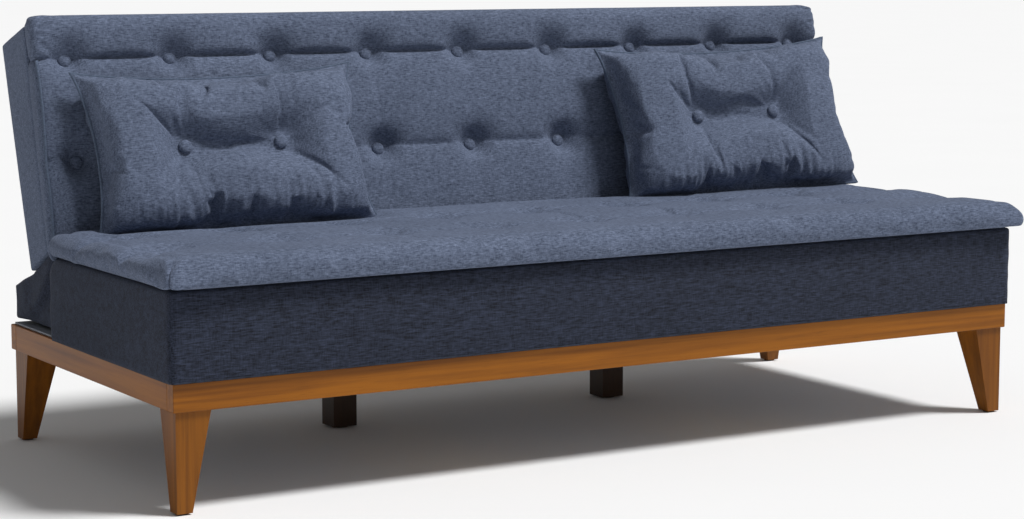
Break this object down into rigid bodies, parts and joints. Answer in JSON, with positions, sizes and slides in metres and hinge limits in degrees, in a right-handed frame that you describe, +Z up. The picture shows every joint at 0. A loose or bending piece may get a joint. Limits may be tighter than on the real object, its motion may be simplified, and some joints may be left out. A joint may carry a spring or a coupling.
{
  "type": "futon sofa bed",
  "caption": "Three-seat futon sofa bed with a tufted fold-down backrest, a loose seat pad, throw pillows and a wooden plinth on tapered legs.",
  "frame": {"origin": "on the floor, at the middle of the whole object's footprint", "axes": "+X to the right seen from the front, along the sofa; +Y to the rear; +Z up; the seat faces -Y"},
  "size_m": [1.846, 0.817, 0.8096],
  "materials": {
    "walnut_stain": "satin walnut-stained beech",
    "dark_stain": "dark brown stain",
    "pine": "planed bare pine and plywood",
    "grey_board": "grey painted sheet",
    "denim_linen": "heathered slate-blue linen weave",
    "navy_linen": "darker navy linen weave",
    "foam": "open-cell foam",
    "webbing": "woven elastic webbing",
    "black_cloth": "non-woven dust cloth",
    "zinc_steel": "zinc-plated steel",
    "felt": "pressed felt"
  },
  "bodies": {
    "base": {"plinth_front_rail": "walnut_stain", "plinth_rear_rail": "walnut_stain", "plinth_left_rail": "walnut_stain", "plinth_right_rail": "walnut_stain", "corner_blocks": "pine", "cross_bearer_left": "pine", "cross_bearer_right": "pine", "plinth_deck": "grey_board", "leg_front_left": "walnut_stain", "leg_front_right": "walnut_stain", "leg_rear_left": "walnut_stain", "leg_rear_right": "walnut_stain", "support_leg_left": "dark_stain", "support_leg_right": "dark_stain", "leg_bolts": "zinc_steel", "leg_glides": "felt", "seat_front_board": "pine", "seat_rear_board": "pine", "seat_left_board": "pine", "seat_right_board": "pine", "seat_slats": "pine", "seat_foam": "foam", "seat_cover": "navy_linen", "seat_pad": "denim_linen", "seat_pad_buttons": "denim_linen", "hinge_seat_arm_left": "zinc_steel", "hinge_seat_arm_right": "zinc_steel", "hinge_drum_left": "zinc_steel", "hinge_drum_right": "zinc_steel", "hinge_pin_left": "zinc_steel", "hinge_pin_right": "zinc_steel", "seat_hinge_screws": "zinc_steel", "skirt_left": "navy_linen", "skirt_right": "navy_linen", "skirt_rear": "navy_linen"},
    "back": {"back_top_rail": "pine", "back_bottom_rail": "pine", "back_left_stile": "pine", "back_right_stile": "pine", "back_middle_stiles": "pine", "back_webbing": "webbing", "back_foam": "foam", "back_cover": "denim_linen", "back_rear_cloth": "black_cloth", "back_pad": "denim_linen", "back_buttons": "denim_linen", "hinge_back_arm_left": "zinc_steel", "hinge_back_arm_right": "zinc_steel", "ratchet_wheel_left": "zinc_steel", "ratchet_wheel_right": "zinc_steel", "back_hinge_screws": "zinc_steel"},
    "loose_pillow_left": {"pillow_left": "denim_linen", "pillow_left_buttons": "denim_linen"},
    "loose_pillow_right": {"pillow_right": "denim_linen", "pillow_right_buttons": "denim_linen"}
  },
  "joints": [
    {"name": "back_recline", "type": "hinge", "parent": "base", "child": "back", "pos_m": [0, 0.19549, 0.368], "axis": [1, 0, 0], "range_deg": [-75, 0], "deforming": ["skirt_left", "skirt_right", "skirt_rear"]},
    {"name": "pillow_left_lift", "type": "slide", "parent": "back", "child": "loose_pillow_left", "axis": [0, 0.2588, 0.9659], "range_m": [0, 0.12]},
    {"name": "pillow_right_lift", "type": "slide", "parent": "back", "child": "loose_pillow_right", "axis": [0, 0.2588, 0.9659], "range_m": [0, 0.12]}
  ]
}
